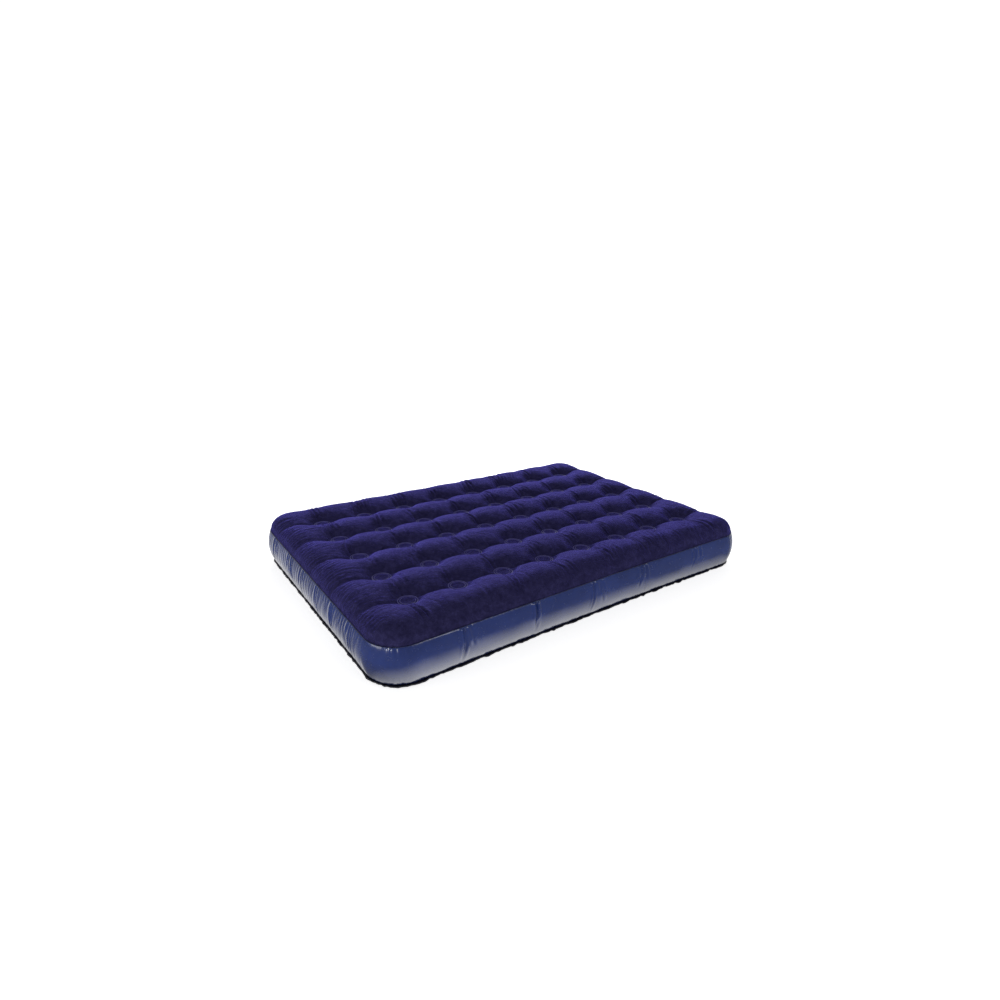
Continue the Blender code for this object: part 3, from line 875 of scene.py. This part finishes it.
BODY_R = 0.0268
BODY_TOP = 0.0110
BODY_UNDER = 0.0086
TUBE_R = 0.0200
TUBE_BORE = 0.0175
TUBE_DEEP = -0.0080
THREAD_ROOT_R = 0.0192
THREAD_TOPS = (0.0060, 0.0010)
WELL_R = 0.0180          # sunk ring round the spout, so the cap sits low
WELL_FLOOR = 0.0020
PLATE_LOW = -0.0004      # underside of the well's floor, the flap's seat
SPOUT_R = 0.0110
SPOUT_FOOT_R = 0.0116
SPOUT_FOOT_TOP = 0.0045
SPOUT_BORE = 0.0085
SPOUT_TOP = 0.0125

CAP_R = 0.0148
CAP_TOP = 0.0150
CAP_LOW = 0.0095
CAP_BORE = 0.0125
CAP_ROOF = 0.0128
PLUG_R = 0.0080
PLUG_TIP = 0.0088


def lathe(name, profile, edge=0.0004, notches=0, notch_depth=0.0, above=0.0, steps=72):
    """A turned piece on the valve's axis; profile holds (radius, height) pairs, and
    its points get a small chamfer each.  Notches are scallops in the outer rim."""
    softened = []
    count = len(profile)
    for k, point in enumerate(profile):
        here = Vector(point)
        for other in (Vector(profile[k - 1]), Vector(profile[(k + 1) % count])):
            gap = other - here
            reach = min(edge, 0.4 * gap.length)
            softened.append(here + gap.normalized() * reach)
    section = np.array([(p.x, p.y) for p in softened])
    turn = np.linspace(0, 2 * math.pi, steps, endpoint=False)[:, None]
    radius = section[None, :, 0] + 0 * turn
    height = section[None, :, 1] + 0 * turn
    if notches:
        scallop = np.clip(np.cos(notches * turn) - 0.45, 0.0, 1.0) / 0.55
        radius = radius - notch_depth * scallop * (radius > above)
    y = VALVE.y + radius * np.sin(turn)
    z = VALVE.z + radius * np.cos(turn)
    obj = joined(name, [np.stack([VALVE.x + height, y, z], -1)])
    obj.data.set_sharp_from_angle(angle=math.radians(50))
    return obj


def washer(inner, outer, low, high):
    """Profile of a flat ring."""
    return ((outer, high), (outer, low), (inner, low), (inner, high))


def thread_groove(top):
    """Profile of one groove between two ribs of the thread, from its upper edge."""
    slope = 0.0005
    width = 0.0030
    return (
        (TUBE_R, top),
        (THREAD_ROOT_R, top - slope),
        (THREAD_ROOT_R, top - width + slope),
        (TUBE_R, top - width),
    )


def make_valve():
    """Base, gasket, body, cap and check flap, each turned on the valve's axis."""
    base = lathe(
        "valve_base_ring",
        (
            (COLLAR_R, BASE_TOP), (COLLAR_R, 0.0032), (0.0262, 0.0022), (0.0300, 0.0020),
            (0.0304, 0.0024), (0.0314, 0.0024), (0.0318, 0.0018),          # first weld rib
            (0.0332, 0.0018), (0.0336, 0.0022), (0.0346, 0.0022),          # second weld rib
            (FLANGE_R, 0.0010), (FLANGE_R, FLANGE_LOW), (NECK_R, FLANGE_LOW),
            (NECK_R, BASE_DEEP), (BORE_R, BASE_DEEP), (BORE_R, BASE_TOP),
        ),
        edge=0.0003,
    )
    gasket = lathe("valve_gasket_ring", washer(0.0211, 0.0241, 0.0073, 0.0083))
    thread = [point for top in THREAD_TOPS for point in thread_groove(top)]
    body = lathe(
        "valve_body_turned",
        (
            (SPOUT_R, SPOUT_TOP), (SPOUT_R, SPOUT_FOOT_TOP), (SPOUT_FOOT_R, SPOUT_FOOT_TOP),
            (SPOUT_FOOT_R, WELL_FLOOR), (WELL_R, WELL_FLOOR), (WELL_R, BODY_TOP),
            (BODY_R, BODY_TOP), (BODY_R, BODY_UNDER), (TUBE_R, BODY_UNDER), *thread,
            (TUBE_R, TUBE_DEEP), (TUBE_BORE, TUBE_DEEP), (TUBE_BORE, PLATE_LOW),
            (SPOUT_BORE, PLATE_LOW), (SPOUT_BORE, SPOUT_TOP),
        ),
        notches=16,
        notch_depth=0.0014,
        above=0.0215,
        steps=160,
    )
    cap = lathe(
        "valve_cap_turned",
        (
            (AXIS_R, 0.0146), (0.0090, 0.0146), (0.0100, CAP_TOP), (0.0136, CAP_TOP),
            (CAP_R, 0.0138), (CAP_R, CAP_LOW), (CAP_BORE, CAP_LOW), (CAP_BORE, CAP_ROOF),
            (PLUG_R, CAP_ROOF), (PLUG_R, 0.0118), (0.0068, PLUG_TIP), (AXIS_R, PLUG_TIP),
        ),
        notches=24,
        notch_depth=0.0005,
        above=0.0144,
        steps=192,
    )
    flap = lathe("valve_flap_disc", washer(AXIS_R, 0.0120, -0.0015, -0.0007), edge=0.0002)
    return base, gasket, body, cap, flap


def make_strap():
    """The cap's strap: a thin web from the body's rim to the cap, humped at its bend."""
    root, tip = 0.0232, 0.0150
    half_thickness = 0.0004
    share = np.linspace(0.0, 1.0, 13)
    hump = np.sin(math.pi * share)
    out = root + (tip - root) * share
    lift = 0.0118 + 0.0006 * hump
    half_width = 0.0035 - 0.0008 * hump
    rings = []
    for reach, high, wide in zip(out, lift, half_width):
        for face, side in ((1, -1), (1, 1), (-1, 1), (-1, -1)):
            across = VALVE.y + side * wide
            rings.append((VALVE.x + high + face * half_thickness, across, VALVE.z + reach))
    index = np.arange(len(rings)).reshape(-1, 4)
    ahead = index[1:]
    quads = np.stack([index[:-1], ahead, np.roll(ahead, -1, 1), np.roll(index[:-1], -1, 1)], -1)
    faces = quads.reshape(-1, 4).tolist() + [index[0].tolist(), index[-1][::-1].tolist()]
    obj = mesh_object("valve_strap_web", rings, faces, shaded_smooth=False)
    bevel = obj.modifiers.new("soft_edges", "BEVEL")
    bevel.width = 0.00025
    bevel.segments = 2
    return obj


# ------------------------------------------------------------------ studio
CAMERA_DISTANCE = 2.808                     # from the middle of the bed, on the floor
CAMERA_ANGLES = (-35.66, 24.73, 0.98)       # azimuth, elevation and roll, degrees
CAMERA_LENS = 20.54                         # mm, on a 36 mm sensor
CAMERA_SHIFT = (-0.0031, 0.0577)


def make_camera():
    """Stands in front of the near left corner and looks down."""
    azimuth, elevation, roll = (math.radians(angle) for angle in CAMERA_ANGLES)
    place = CAMERA_DISTANCE * Vector(
        (
            math.sin(azimuth) * math.cos(elevation),
            -math.cos(azimuth) * math.cos(elevation),
            math.sin(elevation),
        )
    )
    ahead = -place.normalized()
    right = ahead.cross(Vector((0, 0, 1))).normalized()
    up = right.cross(ahead)
    tilted_right = math.cos(roll) * right + math.sin(roll) * up
    tilted_up = math.cos(roll) * up - math.sin(roll) * right
    turn = Matrix((tilted_right, tilted_up, -ahead)).transposed().to_4x4()
    turn.translation = place
    camera = bpy.data.cameras.new("camera")
    camera.sensor_width = 36.0
    camera.lens = CAMERA_LENS
    camera.shift_x, camera.shift_y = CAMERA_SHIFT
    obj = bpy.data.objects.new("camera", camera)
    obj.matrix_world = turn
    bpy.context.scene.collection.objects.link(obj)
    bpy.context.scene.camera = obj


def soft_light(name, place, size, power, aim=(0.0, 0.0, 0.1)):
    """A white rectangular lamp that faces its aim."""
    light = bpy.data.lights.new(name, "AREA")
    light.shape = "RECTANGLE"
    light.size, light.size_y = size
    light.energy = power
    obj = bpy.data.objects.new(name, light)
    obj.location = place
    obj.rotation_euler = (Vector(aim) - Vector(place)).to_track_quat("-Z", "Y").to_euler()
    obj.visible_camera = False
    bpy.context.scene.collection.objects.link(obj)


def world_glow(world, towards, begin, end):
    """Grey that changes as one looks more towards a direction; begin and end each hold
    the cosine of the angle to that direction, and the brightness there."""
    nodes, links = world.node_tree.nodes, world.node_tree.links
    place = nodes.new("ShaderNodeTexCoord")
    nearness = nodes.new("ShaderNodeVectorMath")
    nearness.operation = "DOT_PRODUCT"
    nearness.inputs[1].default_value = towards
    links.new(place.outputs["Generated"], nearness.inputs[0])
    ramp = nodes.new("ShaderNodeValToRGB")
    for element, (position, grey) in zip(ramp.color_ramp.elements, (begin, end)):
        element.position = position
        element.color = (grey, grey, grey, 1.0)
    links.new(nearness.outputs["Value"], ramp.inputs["Fac"])
    return ramp.outputs["Color"]


def make_world():
    """A bright side behind the bed, and a glow from below in the place of the floor,
    which is left out of the film's reflections."""
    world = bpy.data.worlds.new("studio")
    world.use_nodes = True
    nodes, links = world.node_tree.nodes, world.node_tree.links
    behind = (0.58, 0.81, 0.0)
    below = (0.10, -0.20, -0.97)
    dome = world_glow(world, behind, begin=(0.36, 0.18), end=(0.82, 1.12))
    paper = world_glow(world, below, begin=(0.52, 0.0), end=(0.95, 1.9))
    both = nodes.new("ShaderNodeMix")
    both.data_type = "RGBA"
    both.blend_type = "LIGHTEN"
    both.inputs["Factor"].default_value = 1.0
    links.new(dome, both.inputs[6])
    links.new(paper, both.inputs[7])
    links.new(both.outputs[2], nodes["Background"].inputs["Color"])
    bpy.context.scene.world = world


def make_studio():
    """A plain pale floor, four soft lamps and the world."""
    bpy.ops.mesh.primitive_plane_add(size=60.0)
    floor = bpy.context.object
    floor.name = "studio_floor"
    floor.data.materials.append(floor_material())
    floor.visible_glossy = False
    soft_light("key", (2.5, 4.4, 1.55), (3.2, 0.8), 360)
    soft_light("left", (-3.0, -0.3, 1.0), (1.6, 0.9), 11)
    soft_light("front", (0.6, -3.4, 2.6), (2.0, 1.2), 16)
    soft_light("corner", (-3.3, -2.4, 1.1), (0.4, 0.4), 7, aim=(-0.9, -0.6, 0.15))
    make_world()
    bpy.context.scene.view_settings.view_transform = "Standard"


# ---------------------------------------------------------------- assembly
def finish_piece(obj, body, material, slot, *nodes):
    """Paints a piece, sets it on its body, and hides the solids that it stands for."""
    obj.data.materials.append(material)
    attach(obj, body)
    if nodes:
        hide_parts(*nodes)


def film_materials():
    """The films of the wall, the top fin, the underside, the ring welds and the coils."""
    wall = vinyl_material(
        "wall_film",
        ((0.007, 0.024, 0.150), (0.010, 0.031, 0.185), (0.014, 0.040, 0.220)),
        (0.18, 0.30),
        # painted reflection: the wall's base colour turns darker and greyer below this height
        painted_reflection_height=0.120,
    )
    seam = vinyl_material(
        "seam_film",
        ((0.008, 0.014, 0.070), (0.011, 0.018, 0.090), (0.016, 0.025, 0.120)),
        (0.42, 0.60),
        coat=0.0,
    )
    under = vinyl_material(
        "under_film",
        ((0.004, 0.004, 0.012), (0.006, 0.006, 0.018), (0.009, 0.009, 0.026)),
        (0.35, 0.50),
        coat=0.1,
    )
    weld = vinyl_material(
        "weld_film",
        ((0.080, 0.072, 0.300), (0.105, 0.095, 0.380), (0.130, 0.120, 0.450)),
        (0.55, 0.70),
        coat=0.0,
    )
    coil = vinyl_material(
        "coil_film",
        ((0.050, 0.070, 0.220), (0.070, 0.095, 0.280), (0.090, 0.120, 0.330)),
        (0.30, 0.45),
        coat=0.1,
    )
    return wall, seam, under, weld, coil


def main():
    make_camera()
    make_studio()
    flock = flock_material()
    wall_film, seam_film, under_film, weld_film, coil_film = film_materials()
    plastic = moulded_material("valve_plastic", (0.014, 0.018, 0.055), (0.020, 0.025, 0.070), 0.38)
    rubber = moulded_material("seal_rubber", (0.012, 0.012, 0.014), (0.020, 0.020, 0.022), 0.62)

    top = make_top()
    finish_piece(top, "sleeping_surface", flock, "flocked_pvc", "top_sheet")
    top_welds = make_ring_welds("top_ring_welds", Z_RING + 0.0004)
    finish_piece(top_welds, "sleeping_surface", weld_film, "flocked_pvc")

    line = outline(OUTLINE_COUNT)
    top_seam = make_seam("top_weld_seam", TOP_FIN, line, TOP_WAVES_OUT, TOP_WAVES_UP)
    finish_piece(top_seam, "sleeping_surface", seam_film, "side_pvc")

    wall = make_wall(*line)
    wall.data.materials.append(wall_film)
    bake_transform(wall)
    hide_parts("side_wall")

    under = make_underside()
    finish_piece(under, "envelope", under_film, "bottom_pvc", "bottom_sheet")
    low_seam = make_seam("bottom_weld_seam", LOW_FIN, line, LOW_WAVES_OUT, LOW_WAVES_UP)
    finish_piece(low_seam, "envelope", under_film, "bottom_pvc")

    coils = make_coils()
    coil_nodes = [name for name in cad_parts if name.startswith("coil_beam_")]
    finish_piece(coils, "envelope", coil_film, "coil_pvc", *coil_nodes)
    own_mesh(coils)

    base, gasket, body, cap, flap = make_valve()
    finish_piece(base, "envelope", plastic, "valve_pvc", "valve_base")
    finish_piece(gasket, "valve_seal", rubber, "seal_rubber", "valve_gasket")
    finish_piece(body, "valve_collar", plastic, "valve_pvc", "valve_body")
    finish_piece(cap, "valve_stopper", plastic, "valve_pvc", "valve_cap")
    finish_piece(make_strap(), "valve_stopper", plastic, "valve_pvc", "valve_cap_strap")
    finish_piece(flap, "check_flap", rubber, "seal_rubber", "valve_check_flap")


main()
